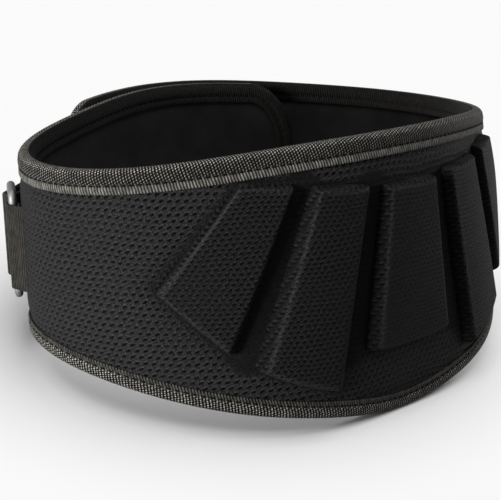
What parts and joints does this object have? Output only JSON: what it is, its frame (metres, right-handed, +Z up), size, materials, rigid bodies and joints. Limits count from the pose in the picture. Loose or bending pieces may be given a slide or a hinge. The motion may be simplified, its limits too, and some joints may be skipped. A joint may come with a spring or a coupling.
{
  "type": "weightlifting belt",
  "caption": "Padded contoured weightlifting belt closed in a loop, with raised back pads, taped edges and a strap through a steel loop.",
  "frame": {"origin": "middle of the bounding box at the floor that the lower edge stands on", "axes": "+Z up, the back pads towards -Y, the overlapping ends towards +Y, the steel loop on the -X side"},
  "size_m": [0.3194, 0.2576, 0.1512],
  "materials": {
    "mesh": "matt spacer mesh over foam",
    "pad_mesh": "matt spacer mesh over a foam pad",
    "lining": "smooth brushed lining",
    "tape": "ribbed grosgrain tape",
    "webbing": "finely ribbed webbing",
    "steel": "satin round wire"
  },
  "bodies": {
    "root": {"outer_panel": "mesh", "inner_lining": "lining", "edge_binding": "tape", "pad_centre": "pad_mesh", "pad_left_inner": "pad_mesh", "pad_left_outer": "pad_mesh", "pad_right_inner": "pad_mesh", "pad_right_outer": "pad_mesh", "buckle_loop": "steel", "loop_tab": "webbing", "closure_strap": "webbing"}
  },
  "joints": []
}
